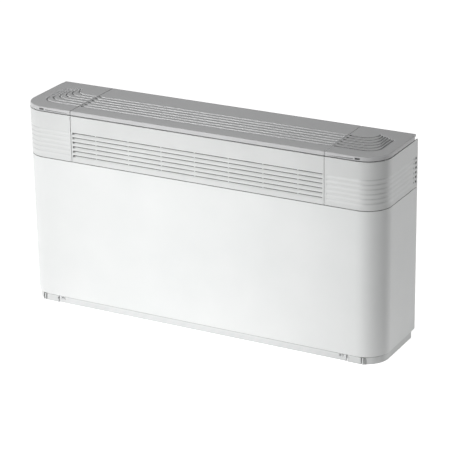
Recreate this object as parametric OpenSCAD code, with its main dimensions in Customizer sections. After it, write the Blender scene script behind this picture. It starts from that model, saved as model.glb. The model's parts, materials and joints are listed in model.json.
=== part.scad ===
// Fan coil unit with a front louvre outlet, hinged end lids, twin centrifugal fans,
// a slanted water coil and a pull-out air filter.
// Millimetres. +X is right seen from the front, -Y is the front, +Z is up.
// The origin is on the floor under the middle of the cabinet.

/* [Cabinet] */
// Overall width
cabinet_w = 980; // [960:10:1300]
// Overall depth, front to wall
cabinet_d = 210; // [208:1:225]
// Overall height, floor to lid
cabinet_h = 522; // [518:1:560]
// Outer radius of the two front corners
corner_r = 62; // [50:1:75]
// Width of each end section, side to seam
end_w = 144.5; // [142:0.5:170]
// Height of the head that holds the grille, with the lid
head_h = 131; // [128:1:140]
// Height of the plinth under the front panel
plinth_h = 20; // [19:0.5:26]
// Set-back of the plinth behind the front panel
plinth_inset = 3; // [2:0.5:6]
// Height of the shadow groove between the plinth and the panel
plinth_groove = 2; // [1:0.2:3]
// Set-back of the plinth's neck in that groove
plinth_neck = 2; // [1:0.2:2.6]
// Gap at the seams between casing pieces
seam_gap = 1.5; // [0.8:0.1:2]
// Thickness of the steel sheet
sheet_t = 1.2; // [0.8:0.1:1.6]
// Wall of the moulded casing pieces
moulding_t = 3.2; // [3:0.1:4]
// Width of the returned edges of the front panel
panel_flange = 12; // [8:1:16]

/* [Lid] */
// Height of the lid seen from the front
lid_h = 10; // [9:0.2:14]
// Dark gap between the lid and the head
shadow_gap = 2.4; // [1.4:0.1:3.2]
// Set-back of the lid behind the casing below
lid_inset = 0.6; // [0.2:0.1:2]
// Thickness of the lid's top skin
skin_t = 6; // [5:0.2:7]
// Thickness of the lid's lip
lip_t = 3; // [2:0.2:4]
// Radius of the lid's outer top edge
lid_edge_r = 2.4; // [0.8:0.2:3]
// Set-back of the lid from the wall
lid_rear_gap = 4; // [2:0.5:6]
// Width of a groove at the surface
groove_w = 6.4; // [4:0.2:8]
// Width of a groove at its floor
groove_floor_w = 3.6; // [2:0.2:4]
// Depth of a groove
groove_depth = 3.4; // [1:0.2:3.6]
// Distance between grooves, front to rear
groove_pitch = 16.6; // [12:0.2:17]
// Front groove, behind the front of the cabinet
groove_front = 47; // [42:0.5:52]
// Outer groove on the flaps, in from the side of the cabinet
groove_side = 34; // [30:0.5:40]
// Distance between grooves along the side of a flap
groove_side_pitch = 8.4; // [7.5:0.1:9]
// Bend radius of the grooves on the flaps
groove_bend_r = 32; // [20:1:34]
// Plain rim between a groove's end and the seam
groove_rim = 3; // [2:0.5:6]
// Rear end of the outer groove, behind the middle of the cabinet
groove_tail = 40; // [30:1:45]
// How much further back each inner groove ends
groove_tail_step = 4.4; // [3:0.2:5]

/* [Outlet grille] */
// Height of the band under the lowest slot
sill_h = 11.6; // [9:0.2:13]
// Distance between slots
slot_pitch = 11.7; // [11:0.1:12.5]
// Height of a slot
slot_h = 6.3; // [5:0.1:7]
// Plain margin at each end of the slots
grille_margin = 4.4; // [4:0.2:8]
// Depth of the sloping vanes
vane_depth = 13; // [8:0.5:16]
// Rise of a vane from its front to its rear edge
vane_rise = 5.5; // [3:0.5:7]
// Thickness of a vane
vane_t = 2; // [1.6:0.1:2.6]
// Depth of the steep lip at a vane's front
vane_lip_d = 3.2; // [2:0.2:5]
// Rise of that lip
vane_lip_rise = 3.6; // [2:0.2:5]
// Distance between the upright ribs
rib_pitch = 92; // [80:1:100]
// Thickness of an upright rib
rib_t = 3; // [2:0.2:5]
// Set-back of the ribs behind the front
rib_inset = 3.4; // [2:0.2:6]
// Depth of the mock louvres on the end caps
mock_depth = 1.6; // [0.6:0.1:2.2]
// Height of a mock louvre's slope
mock_h = 7; // [5:0.2:9]
// Plain margin between a mock louvre and the seam
mock_margin = 5; // [4:0.5:10]
// Rear end of the mock louvres, in front of the wall
mock_rear = 21; // [18:0.5:30]
// Width of the slots at the rear of the end caps
rear_slot_w = 8; // [5:0.5:9]
// Rear end of these slots, in front of the wall
rear_slot_inset = 6; // [4:0.5:8]

/* [Flap hinges and catches] */
// Hinge axis in front of the wall
hinge_inset = 13; // [12:0.5:15]
// Hinge axis below the underside of the flap
hinge_drop = 4.4; // [4.2:0.1:5]
// Radius of a hinge pin
pin_r = 2; // [1.5:0.1:2.2]
// Outer radius of a hinge knuckle
knuckle_r = 4; // [3.6:0.1:4.1]
// Length of a hinge knuckle
knuckle_l = 12; // [8:1:20]
// Distance between the two ears of a hinge bracket
ear_span = 88; // [70:1:90]
// Thickness of the hinge brackets
bracket_t = 3; // [2:0.2:4]
// Length of the finger recess in a flap's lip
recess_l = 63; // [40:1:64]
// Height of the finger recess at its tall end
recess_h = 2.6; // [2:0.2:4]
// Depth of the finger recess
recess_depth = 2.4; // [1.4:0.2:2.8]
// Length of the catch window in a flap's lip
window_l = 13; // [8:1:14]

/* [Fans] */
// Outer radius of a fan wheel
wheel_r = 65; // [60:1:66]
// Width of a fan wheel
wheel_w = 180; // [140:5:185]
// Blades of a fan wheel
blade_count = 30; // [20:2:36]
// Curve radius of a blade
blade_r = 8; // [7:0.2:9]
// Thickness of a blade
blade_t = 0.9; // [0.8:0.1:1.2]
// Gap between the wheel and the tongue of its housing
tongue_gap = 4; // [3:0.5:6]
// Growth of the housing's radius at each quarter turn
scroll_step = 12; // [8:0.5:12]
// Radius of the fan shaft
shaft_r = 6; // [5:0.5:8]
// Radius of the motor
motor_r = 46; // [40:1:50]
// Length of the motor without its end bosses
motor_l = 84; // [70:2:90]

/* [Coil] */
// Slope of the coil above the horizontal
coil_angle = 50; // [47:1:53]
// Tubes along the coil's height
tubes_high = 8; // [8:2:8]
// Rows of tubes through the coil
tube_rows = 3; // [2:1:3]
// Distance between tubes along the height
tube_pitch = 25; // [24:0.5:25.4]
// Distance between rows
row_pitch = 22; // [20:0.5:22.5]
// Outer radius of a tube
tube_r = 4.76; // [4:0.1:5]
// Distance between fins
fin_pitch = 16; // [12:1:24]
// Thickness of a fin
fin_t = 0.5; // [0.4:0.1:1]
// Radius of a header pipe
header_r = 11; // [10:0.5:12]
// Thread bore radius of a water connection
thread_r = 9.3; // [7:0.1:10]
// Depth of the thread bore
thread_l = 16; // [12:1:20]
// Outer radius of the drain spigot
spigot_r = 8; // [6:0.5:9]

/* [Filter] */
// Width of the plinth strip
strip_w = 806.4; // [700:0.4:809.6]
// Gap between the strip and a foot
strip_gap = 2.8; // [0.8:0.1:3.2]
// Thickness of the strip
strip_t = 3; // [2:0.2:4]
// Height of the filter's rails
rail_h = 8; // [6:0.5:9]
// Width of the filter's rails
rail_w = 10; // [8:1:16]
// Width of a foot block
foot_block_w = 35; // [20:1:36]
// Gap between a foot block and the corner foot
foot_gap = 10; // [6:1:12]
// Width of the post that stands in this gap
foot_post_w = 3.6; // [2:0.2:4]
// Travel of a filter catch
catch_travel = 3; // [2:0.5:4]

/* [Services] */
// Width between the wall fixing holes
wall_hole_w = 744; // [736:2:800]
// Height between the wall fixing holes
wall_hole_h = 320; // [280:5:330]
// Radius of a wall fixing hole
wall_hole_r = 4.5; // [3:0.25:5]
// Height of the lower wall fixing holes
wall_hole_z = 120; // [100:5:125]
// Radius of a control knob
knob_r = 14; // [10:0.5:16]
// Height of a control knob
knob_h = 12; // [9:0.5:13]
// Radius of the capacitor
capacitor_r = 16; // [12:1:18]

/* [Hidden] */
$fn = 64;
// How far a cutter runs past the surface it cuts
past = 1;
// Clearance between a part and its seat, and of a running fit
clear = 0.3;
run_gap = 0.06;
// Overlap inside one piece so that its solids join
join = 0.4;

white = "#eef0ef";
grey = "#a3a4a5";
steel = "#b9bdc0";
copper = "#b8703f";
brass = "#c2a24a";
dark = "#3a3d40";

half_w = cabinet_w / 2;
front_y = -cabinet_d / 2;
rear_y = cabinet_d / 2;
seam_x = half_w - end_w;
head_z = cabinet_h - head_h;
lid_z = cabinet_h - lid_h;
head_top = lid_z - shadow_gap;
panel_top = head_z - seam_gap;
skin_z = cabinet_h - skin_t;
lid_rear_y = rear_y - lid_rear_gap;
seat_z = skin_z - clear;
back_y = rear_y - sheet_t;
end_x = seam_x + seam_gap / 2;
mid_x = seam_x - seam_gap / 2;

// Side plates stand on the seams
plate_out = seam_x + sheet_t / 2;
plate_in = plate_out - sheet_t;
plate_flange = 12;
plate_front_y = front_y + panel_flange + clear;

// Levels of the grille slots, lowest first
slot_count = 6;
slot_levels = [for (k = [0 : slot_count - 1]) head_z + sill_h + k * slot_pitch];
grille_half = seam_x - grille_margin;
rib_count = floor(grille_half / rib_pitch);
rib_places = [for (i = [-rib_count : rib_count]) i * rib_pitch];
shelf_inset = 7;
shelf_t = 3;
shelf_z = head_top - 8;

// Lines of the lid grooves, front first
groove_ids = [0 : slot_count - 1];
function groove_y(k) = front_y + groove_front + k * groove_pitch;
function groove_x(k) = half_w - groove_side - k * groove_side_pitch;
function groove_end(k) = groove_tail + k * groove_tail_step;

// Hinges of the end flaps
hinge_y = rear_y - hinge_inset;
hinge_z = skin_z - hinge_drop;
lip_rear_y = hinge_y - knuckle_r - clear;
ear_x = seam_x + (end_w - ear_span) / 2;
flap_rear_x = half_w - moulding_t - 2 * clear;
ear_foot_z = hinge_z - 45;
ear_knee_z = hinge_z - 16;
end_back_top = hinge_z - 13;
recess_margin = 9;

// Fans
scroll_t = sheet_t;
scroll_r = [for (q = [0 : 2]) wheel_r + tongue_gap + scroll_step / 2 + q * scroll_step];
wheel_side_gap = 8;
scroll_w = wheel_w + 2 * wheel_side_gap;
motor_boss_l = 13;
motor_half = motor_l / 2 + motor_boss_l;
motor_side_gap = 28;
fan_x = motor_half + motor_side_gap + scroll_w / 2;
fan_floor_gap = 6;
fan_z = plinth_h + fan_floor_gap + scroll_t + scroll_step / 2 + scroll_r[1];
fan_y = back_y - 2 * clear - scroll_t - scroll_step / 2 - scroll_r[2];
outlet_rise = 88;
deck_z = fan_z + outlet_rise;
deck_top = deck_z + sheet_t;
outlet_y = [fan_y - scroll_step / 2, fan_y + scroll_step / 2 + scroll_r[2]];
blade_depth = 12;
eye_r = wheel_r - blade_depth;
ring_t = 3;
hub_r = 13;
hub_l = 30;
shaft_past_hub = 5;
shaft_half = fan_x + hub_l / 2 + shaft_past_hub;
bearing_r = 13;
bearing_l = 9;
boss_r = 18;
rubber_r = 24;
rubber_l = 10;
rubber_x = motor_half - rubber_l / 2 - 1;

// Coil
coil_half_h = tubes_high * tube_pitch / 2;
coil_half_t = tube_rows * row_pitch / 2;
coil_end_gap = 35;
coil_half_l = plate_in - coil_end_gap;
coil_reach = coil_half_h * sin(coil_angle) + coil_half_t * cos(coil_angle);
tray_t = 2.5;
drip_gap = 5;
coil_z = deck_top + tray_t + drip_gap + coil_reach;
end_plate_t = sheet_t;
bend_leg = 6;
tube_h = [for (i = [0 : tubes_high - 1]) (i - (tubes_high - 1) / 2) * tube_pitch];
tube_v = [for (j = [0 : tube_rows - 1]) (j - (tube_rows - 1) / 2) * row_pitch];
tube_end = coil_half_l + end_plate_t + bend_leg;
header_x = tube_end + header_r + clear;
stub_r = 12;
stub_gap = 2;
stub_bend = 18;
stub_straight = 2;
hex_l = 20;
hex_r = 16;
union_side_gap = 4;
union_x = plate_out + plate_flange + hex_r + union_side_gap;
union_y = coil_place_y(tube_h[tubes_high - 1], 0) + stub_bend + stub_straight + hex_l;
tray_front = plate_front_y;
tray_rear = outlet_y[0] - sheet_t - clear;
tray_half = plate_in - clear;
tray_wall_h = 24;
tray_front_h = 44;
spigot_l = 30;
spigot_boss = 1;
spigot_wall = 2;
spigot_foot = plate_out + 2;
spigot_bend = 12;
spigot_z = deck_top + tray_t + spigot_r + spigot_boss;
spigot_y = (tray_front + tray_rear) / 2;
spigot_end = spigot_y + spigot_bend + spigot_l;

// Filter and feet
foot_in = strip_w / 2 + strip_gap;
foot_rear_gap = 13;
foot_rear = rear_y - foot_rear_gap;
foot_wall = 3;
runner_w = 6;
runner_depth = 3;
runner_h = 4;
runner_drop = 11;
runner_z = plinth_h - runner_drop;
strip_z = 1;
strip_top = plinth_h - plinth_groove;
filter_front = front_y + plinth_inset;
filter_rear = foot_rear - 1;
filter_z = runner_z + runner_h / 2 - rail_h / 2;
mesh_t = 0.8;
catch_inset = 12;
catch_x = strip_w / 2 - catch_inset;
catch_tail_x = catch_x - 10;
catch_w = 12;
catch_h = 6;
catch_drop = 6.6;
catch_z = plinth_h - catch_drop;
catch_body_y = filter_front + strip_t + clear;
catch_body_d = 4;

// Controls in the right end
control_drop = 26;
control_z = head_top - control_drop;
control_t = 2;
control_x = [plate_out, half_w - 22];
control_y = [-68, 62];
knob_inset = [55, 95];
knob_x = [for (inset = knob_inset) seam_x + inset];
knob_y = -8;
stem_r = 3;
stem_l = 10;
box_size = [44, 96, 104];
box_wall = 2;
box_y = -60;
box_z = deck_top + 76;
block_size = [20, 70, 26];
gland_r = 8;
gland_bore_r = 4.5;
gland_wall = 2;
gland_thread_h = 5.6;
capacitor_l = 56;
capacitor_drop = 60;
capacitor_z = deck_top - capacitor_drop;
capacitor_y = -40;
capacitor_x = plate_out + capacitor_r + 2;

// Windows in the back panel for pipes and cables from the wall
pipe_window_inset = 52;
pipe_window_edge = 26;
pipe_window_x = [seam_x + pipe_window_inset, half_w - pipe_window_edge];
pipe_window_z = [60, 240];

// Window behind the water and drain connections
joint_window_rim = 22;
joint_window_z = [spigot_z - joint_window_rim, coil_place_z(tube_h[tubes_high - 1], 0) + joint_window_rim];

// Sheets round the windows: seam with the back panel on the side plate's flange, and outer edge
back_seam = plate_out + plate_flange / 2;
back_edge = half_w - moulding_t - clear;

// Plan of the cabinet, moved in by inset at the front and sides, ending at rear
module plan(inset, rear) {
    straight = half_w - corner_r;
    translate([-(half_w - inset), front_y + corner_r])
        square([2 * (half_w - inset), rear - front_y - corner_r]);
    translate([-straight, front_y + inset])
        square([2 * straight, corner_r]);
    for (side = [-1, 1])
        translate([side * straight, front_y + corner_r])
            circle(corner_r - inset);
}

// Wall of thickness t along the plan, open at the rear
module plan_wall(inset, t, rear) {
    difference() {
        plan(inset, rear);
        plan(inset + t, rear + past);
    }
}

// Box between two corners
module block(low, high) {
    translate(low)
        cube(high - low);
}

// Profile drawn in Y and Z, extruded along X from x0 to x1
module along_x(x0, x1) {
    translate([x0, 0, 0])
        rotate([90, 0, 90])
            linear_extrude(x1 - x0)
                children();
}

// Round bar along X
module bar_x(x0, x1, y, z, r) {
    translate([x0, y, z])
        rotate([0, 90, 0])
            cylinder(h = x1 - x0, r = r);
}

// Round pipe along X at y0 and z, round a bend at x1 and on to the rear, ending at y1
module bent_pipe(x0, x1, y0, y1, z, r, bend) {
    bar_x(x0, x1 - bend, y0, z, r);
    translate([x1 - bend, y0 + bend, z])
        rotate([0, 0, -90])
            rotate_extrude(angle = 90)
                translate([bend, 0])
                    circle(r);
    translate([x1, y0 + bend, z])
        rotate([-90, 0, 0])
            cylinder(h = y1 - y0 - bend, r = r);
}

// Sweeps a profile along a front line, round a corner and along a side line.
// Profile x is measured inwards from the line, profile y is the height.
module corner_sweep(x_from, x_line, y_line, r, y_to) {
    translate([0, y_line, 0])
        along_x(x_from, x_line - r)
            children();
    translate([x_line - r, y_line + r, 0])
        rotate([0, 0, -90])
            rotate_extrude(angle = 90)
                translate([r, 0])
                    mirror([1, 0])
                        children();
    translate([x_line, y_line + r, 0])
        rotate([90, 0, 180])
            linear_extrude(y_to - y_line - r)
                children();
}

// Draws right-hand geometry on the right, or mirrored on the left
module on_side(side) {
    mirror([side < 0 ? 1 : 0, 0, 0])
        children();
}

module front_panel() {
    color(white) {
        translate([0, 0, plinth_h])
            linear_extrude(panel_top - plinth_h)
                plan_wall(0, sheet_t, rear_y);
        for (z = [plinth_h, panel_top - sheet_t])
            translate([0, 0, z])
                linear_extrude(sheet_t)
                    plan_wall(0, panel_flange, back_y - panel_flange);
    }
}

// Section of an end cap's wall, with a sloping notch at each grille slot
module mock_louvre_profile() {
    notches = [for (z = slot_levels, p = [[0, -mock_h], [mock_depth, 0], [0, 0]])
        [p[0], p[1] + z + slot_h]];
    polygon(concat([[moulding_t, head_z], [0, head_z]], notches,
        [[0, head_top], [moulding_t, head_top]]));
}

module end_cap(side) {
    mock_x = seam_x + mock_margin;
    mock_y = rear_y - mock_rear;
    flange_d = 20;
    flange_y = front_y + flange_d;
    ledge_x = half_w - shelf_inset;
    slot_y = rear_y - rear_slot_inset - rear_slot_w;
    color(white)
        on_side(side) difference() {
            union() {
                block([end_x, front_y, head_z], [mock_x, front_y + moulding_t, head_top]);
                corner_sweep(mock_x, half_w, front_y, corner_r, mock_y)
                    mock_louvre_profile();
                block([half_w - moulding_t, mock_y, head_z], [half_w, rear_y, head_top]);
                block([end_x, front_y + join, head_z], [end_x + moulding_t, flange_y, head_top]);
                block([ledge_x, front_y + corner_r, shelf_z], [half_w - join, lip_rear_y, shelf_z + shelf_t]);
                block([ledge_x - moulding_t, front_y + corner_r, shelf_z],
                    [ledge_x, lip_rear_y, seat_z]);
            }
            for (z = slot_levels)
                block([half_w - moulding_t - past, slot_y, z],
                    [half_w + past, slot_y + rear_slot_w, z + slot_h]);
        }
}

module left_end_cap() { end_cap(-1); }
module right_end_cap() { end_cap(1); }

// Section of a vane: front face, steep lip, slope up to the rear, thin rear edge
module vane_profile(z) {
    face_h = slot_pitch - slot_h;
    polygon([[front_y, z], [front_y, z + face_h],
        [front_y + vane_lip_d, z + face_h + vane_lip_rise],
        [front_y + vane_depth, z + face_h + vane_rise],
        [front_y + vane_depth, z + face_h + vane_rise - vane_t],
        [front_y + moulding_t, z]]);
}

module outlet_grille() {
    low = slot_levels[0];
    high = slot_levels[slot_count - 1] + slot_h;
    box_depth = vane_depth + rib_inset;
    shelf_y = front_y + shelf_inset;
    shelf_x = mid_x - 2;
    box_rise = 8;
    color(white) {
        difference() {
            block([-mid_x, front_y, head_z], [mid_x, front_y + moulding_t, head_top]);
            block([-grille_half, front_y - past, low], [grille_half, front_y + moulding_t + past, high]);
        }
        for (z = slot_levels)
            along_x(-grille_half - join, grille_half + join)
                vane_profile(z - slot_pitch + slot_h);
        for (x = rib_places)
            block([x - rib_t / 2, front_y + rib_inset, low - join],
                [x + rib_t / 2, front_y + box_depth, high + join]);
        for (side = [-1, 1])
            on_side(side)
                block([grille_half, front_y + join, head_z], [mid_x, front_y + box_depth, high + box_rise]);
        block([-shelf_x, front_y + join, shelf_z], [shelf_x, shelf_y + moulding_t, shelf_z + shelf_t]);
        block([-shelf_x, shelf_y, shelf_z], [shelf_x, shelf_y + moulding_t, skin_z]);
    }
}

// Edge of the lid in section: rounded top corner, skin and, if wanted, the hanging lip
module lid_edge(lip) {
    edge_w = lip_t + lid_edge_r;
    translate([0, skin_z])
        square([edge_w, skin_t - lid_edge_r]);
    translate([lid_edge_r, skin_z])
        square([edge_w - lid_edge_r, skin_t]);
    translate([lid_edge_r, cabinet_h - lid_edge_r])
        circle(lid_edge_r);
    if (lip)
        translate([0, lid_z])
            square([lip_t, lid_h - lid_edge_r]);
}

// Groove section, centred on its line
module groove_profile() {
    flare = (groove_w - groove_floor_w) / 2 / groove_depth;
    top = groove_w / 2 + flare * past;
    polygon([[-top, cabinet_h + past], [-groove_floor_w / 2, cabinet_h - groove_depth],
        [groove_floor_w / 2, cabinet_h - groove_depth], [top, cabinet_h + past]]);
}

module top_cover() {
    color(grey)
        difference() {
            union() {
                translate([0, front_y + lid_inset, 0])
                    along_x(-mid_x, mid_x)
                        lid_edge(true);
                block([-mid_x, front_y + lid_inset + lip_t, skin_z], [mid_x, lid_rear_y, cabinet_h]);
            }
            for (k = groove_ids)
                translate([0, groove_y(k), 0])
                    along_x(-mid_x + groove_rim, mid_x - groove_rim)
                        groove_profile();
        }
}

// Finger recess: taller towards the corner, with a floor that rises inwards to its top edge
module finger_recess() {
    lift = 1.6;
    x0 = end_x + recess_margin;
    y0 = front_y + lid_inset;
    z0 = lid_z + lift;
    slope = recess_h / recess_depth;
    intersection() {
        translate([0, y0 + recess_depth, 0])
            rotate([90, 0, 0])
                linear_extrude(recess_depth + past)
                    polygon([[x0, z0], [x0 + recess_l, z0], [x0 + recess_l, z0 + recess_h],
                        [x0, z0 + recess_h / 2]]);
        along_x(x0 - past, x0 + recess_l + past)
            polygon([[y0 - past, z0 - past * slope], [y0 + recess_depth, z0 + recess_h],
                [y0 - past, z0 + recess_h]]);
    }
}

// Catch window beside the finger recess, with grip teeth left standing in it
module catch_window() {
    gap = 4;
    lift = 2.2;
    window_h = 4.4;
    x0 = end_x + recess_margin + recess_l + gap;
    z0 = lid_z + lift;
    rear = front_y + lid_inset + lip_t + past;
    teeth = 3;
    tooth_w = window_l / (2 * teeth + 1);
    difference() {
        block([x0, front_y - past, z0], [x0 + window_l, rear, z0 + window_h]);
        for (i = [0 : teeth - 1])
            block([x0 + (2 * i + 1) * tooth_w, front_y + lid_inset + lip_t / 2, z0 - past],
                [x0 + (2 * i + 2) * tooth_w, front_y + lid_inset + lip_t, z0 + window_h / 2]);
    }
}

module flap(side) {
    edge_x = half_w - lid_inset;
    knuckles = [ear_x + bracket_t + clear, ear_x + ear_span - bracket_t - clear - knuckle_l];
    color(grey)
        on_side(side) difference() {
            union() {
                corner_sweep(end_x, edge_x, front_y + lid_inset, corner_r - lid_inset, lip_rear_y)
                    lid_edge(true);
                translate([0, 0, skin_z])
                    linear_extrude(skin_t)
                        intersection() {
                            plan(lid_inset + lid_edge_r + join, lip_rear_y);
                            translate([end_x, front_y])
                                square([end_w, cabinet_d]);
                        }
                block([end_x, lip_rear_y - join, skin_z], [flap_rear_x, lid_rear_y, cabinet_h]);
                for (x = knuckles) {
                    bar_x(x, x + knuckle_l, hinge_y, hinge_z, knuckle_r);
                    block([x, hinge_y - knuckle_r, hinge_z], [x + knuckle_l, hinge_y + knuckle_r, skin_z + join]);
                }
            }
            for (k = groove_ids)
                corner_sweep(end_x + groove_rim, groove_x(k), groove_y(k), groove_bend_r, groove_end(k))
                    groove_profile();
            finger_recess();
            catch_window();
            bar_x(ear_x, ear_x + ear_span, hinge_y, hinge_z, pin_r + run_gap);
        }
}

module left_flap() { flap(-1); }
module right_flap() { flap(1); }

// Steel bracket on the back panel with two ears that hold the hinge pin
module hinge_bracket(side) {
    color(steel)
        on_side(side) {
            for (x = [ear_x, ear_x + ear_span - bracket_t])
                difference() {
                    along_x(x, x + bracket_t) {
                        translate([hinge_y - knuckle_r, ear_foot_z])
                            square([back_y - hinge_y + knuckle_r, ear_knee_z - ear_foot_z]);
                        translate([hinge_y - knuckle_r, ear_foot_z])
                            square([knuckle_r + bracket_t, hinge_z - ear_foot_z]);
                        translate([hinge_y, hinge_z])
                            circle(knuckle_r);
                    }
                    bar_x(x - past, x + bracket_t + past, hinge_y, hinge_z, pin_r + run_gap);
                }
            block([ear_x, back_y - bracket_t, ear_foot_z], [ear_x + ear_span, back_y, ear_knee_z]);
        }
}

module left_hinge_bracket() { hinge_bracket(-1); }
module right_hinge_bracket() { hinge_bracket(1); }

module hinge_pin(side) {
    overhang = 2;
    color(steel)
        on_side(side)
            bar_x(ear_x - overhang, ear_x + ear_span + overhang, hinge_y, hinge_z, pin_r);
}

module left_hinge_pin() { hinge_pin(-1); }
module right_hinge_pin() { hinge_pin(1); }

module back_panel() {
    return_d = 15;
    color(steel) {
        block([-back_seam, back_y, plinth_h], [back_seam, rear_y, end_back_top]);
        block([-mid_x, back_y, plinth_h], [mid_x, rear_y, skin_z]);
        block([-mid_x, back_y - return_d, skin_z - sheet_t], [mid_x, back_y + join, skin_z]);
        block([-plate_in, back_y - return_d, plinth_h], [plate_in, back_y + join, plinth_h + sheet_t]);
    }
}

module wall_hole(z) {
    translate([wall_hole_w / 2, rear_y + past, z])
        rotate([90, 0, 0])
            cylinder(h = sheet_t + 2 * past, r = wall_hole_r);
}

// Sheet above the wall window; it carries the hinge bracket
module rear_head(side) {
    low = side < 0 ? joint_window_z[1] : pipe_window_z[1];
    color(steel)
        on_side(side) difference() {
            block([back_seam, back_y, low], [pipe_window_x[1], rear_y, end_back_top]);
            wall_hole(wall_hole_z + wall_hole_h);
        }
}

module left_rear_head() { rear_head(-1); }
module right_rear_head() { rear_head(1); }

// Sheet between the back panel and the wall window
module rear_plate(side) {
    high = side < 0 ? joint_window_z[0] : pipe_window_z[1];
    color(steel)
        on_side(side) difference() {
            block([back_seam, back_y, plinth_h], [pipe_window_x[0], rear_y, high]);
            wall_hole(wall_hole_z);
        }
}

module left_rear_plate() { rear_plate(-1); }
module right_rear_plate() { rear_plate(1); }

// Sheet below the wall window
module rear_sill(side) {
    color(steel)
        on_side(side)
            block([pipe_window_x[0], back_y, plinth_h], [pipe_window_x[1], rear_y, pipe_window_z[0]]);
}

module left_rear_sill() { rear_sill(-1); }
module right_rear_sill() { rear_sill(1); }

// Upright strip outside the wall window
module rear_rail(side) {
    color(steel)
        on_side(side)
            block([pipe_window_x[1], back_y, plinth_h], [back_edge, rear_y, end_back_top]);
}

module left_rear_rail() { rear_rail(-1); }
module right_rear_rail() { rear_rail(1); }

// Bent side plate: web on the seam, floor of the end bay, flanges for the panels
module side_plate(side) {
    rest_rear = lip_rear_y - clear;
    head_gap = 2 * clear;
    rest_inset = 20;
    head_rest = 9;
    color(steel)
        on_side(side) difference() {
            union() {
                block([plate_in, plate_front_y, plinth_h], [plate_out, rest_rear, seat_z]);
                block([plate_in, rest_rear - join, plinth_h], [plate_out, back_y, end_back_top]);
                block([plate_in, front_y + sheet_t, plinth_h + 2 * sheet_t],
                    [plate_out, plate_front_y + join, panel_top - 2 * sheet_t]);
                block([plate_in, front_y + moulding_t + clear, head_z + head_gap],
                    [plate_out, plate_front_y + join, head_top - head_rest]);
                block([plate_in, front_y + sheet_t, plinth_h + 2 * sheet_t],
                    [plate_out + plate_flange, front_y + 2 * sheet_t, panel_top - 2 * sheet_t]);
                block([plate_in, back_y - sheet_t, plinth_h], [plate_out + plate_flange, back_y, end_back_top]);
                translate([0, 0, plinth_h])
                    linear_extrude(sheet_t)
                        intersection() {
                            plan(panel_flange + clear, back_y);
                            translate([plate_in, plate_front_y])
                                square([end_w, back_y - plate_front_y]);
                        }
                block([plate_in, plate_front_y + rest_inset, seat_z - sheet_t],
                    [plate_out + plate_flange, rest_rear, seat_z]);
            }
            if (side < 0) {
                for (h = [tube_h[0], tube_h[tubes_high - 1]])
                    bar_x(plate_in - past, plate_out + past, coil_place_y(h, 0), coil_place_z(h, 0), stub_r + stub_gap);
                bar_x(plate_in - past, plate_out + past, spigot_y, spigot_z, spigot_r + 2 * spigot_boss);
            }
        }
}

module left_side_plate() { side_plate(-1); }
module right_side_plate() { side_plate(1); }

module fan_deck() {
    opening = scroll_w - 2 * scroll_t;
    front_return = 16;
    color(steel) {
        difference() {
            block([-plate_in, plate_front_y, deck_z], [plate_in, back_y, deck_top]);
            for (side = [-1, 1])
                translate([side * fan_x, 0, 0])
                    block([-opening / 2, outlet_y[0], deck_z - past], [opening / 2, outlet_y[1], deck_top + past]);
        }
        block([-plate_in, plate_front_y, deck_z - front_return], [plate_in, plate_front_y + sheet_t, deck_top]);
    }
}

// Foot block, post, corner foot and the runner for the filter, under one set-back top plate
module foot(side) {
    block_x = foot_in + foot_block_w;
    corner_x = block_x + foot_gap;
    slit_w = (foot_gap - foot_post_w) / 2;
    slit_depth = 19;
    slit_rear = filter_front + slit_depth;
    neck_overlap = 2;
    top_t = plinth_groove + neck_overlap;
    block_d = 38;
    color(white)
        on_side(side) difference() {
            union() {
                linear_extrude(strip_top)
                    intersection() {
                        plan_wall(plinth_inset, foot_wall, foot_rear);
                        translate([corner_x, front_y])
                            square([half_w, cabinet_d]);
                    }
                translate([0, 0, plinth_h - top_t])
                    linear_extrude(top_t)
                        intersection() {
                            plan(plinth_inset + plinth_neck, foot_rear);
                            translate([foot_in, front_y])
                                square([half_w, cabinet_d]);
                        }
                block([foot_in, filter_front, 0], [block_x, filter_front + block_d, strip_top]);
                block([foot_in, filter_front, 0], [foot_in + runner_w, foot_rear, strip_top]);
                block([block_x - join, filter_front, 0], [corner_x + join, slit_rear + foot_wall, strip_top]);
            }
            for (x = [block_x, corner_x - slit_w])
                block([x, front_y, -past], [x + slit_w, slit_rear, plinth_h + past]);
            block([foot_in - past, front_y, runner_z], [foot_in + runner_depth, foot_rear + past, runner_z + runner_h]);
        }
}

module left_foot() { foot(-1); }
module right_foot() { foot(1); }

// Slides on the runners of the feet; its front edge is the plinth strip
module filter_frame() {
    half = strip_w / 2;
    tongue = strip_gap + runner_depth - clear;
    bar_count = 7;
    bar_w = 4;
    guide_t = 1.5;
    color(grey) {
        difference() {
            block([-half, filter_front, strip_z], [half, filter_front + strip_t, strip_top]);
            for (side = [-1, 1])
                translate([side * catch_x, 0, 0])
                    block([-catch_w / 2, filter_front - past, catch_z - catch_h / 2],
                        [catch_w / 2, filter_front + strip_t + past, catch_z + catch_h / 2]);
        }
        difference() {
            block([-half, filter_front + strip_t - join, filter_z], [half, filter_rear, filter_z + rail_h]);
            block([-half + rail_w, filter_front + rail_w, filter_z - past],
                [half - rail_w, filter_rear - rail_w, filter_z + rail_h + past]);
            for (side = [-1, 1])
                on_side(side)
                    block([catch_tail_x - catch_travel - past, filter_front + strip_t - past,
                        catch_z - catch_h / 2 - clear],
                        [half + past, catch_body_y + catch_body_d + clear, filter_z + rail_h + past]);
        }
        for (i = [1 : bar_count])
            translate([-half + i * strip_w / (bar_count + 1), 0, 0])
                block([-bar_w / 2, filter_front + rail_w - join, filter_z],
                    [bar_w / 2, filter_rear - rail_w + join, filter_z + rail_h / 2 - mesh_t / 2]);
        for (side = [-1, 1])
            on_side(side)
                block([half - join, catch_body_y + catch_body_d + 2 * clear, runner_z + clear],
                    [half + tongue, filter_rear, runner_z + runner_h - clear]);
    }
}

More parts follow.
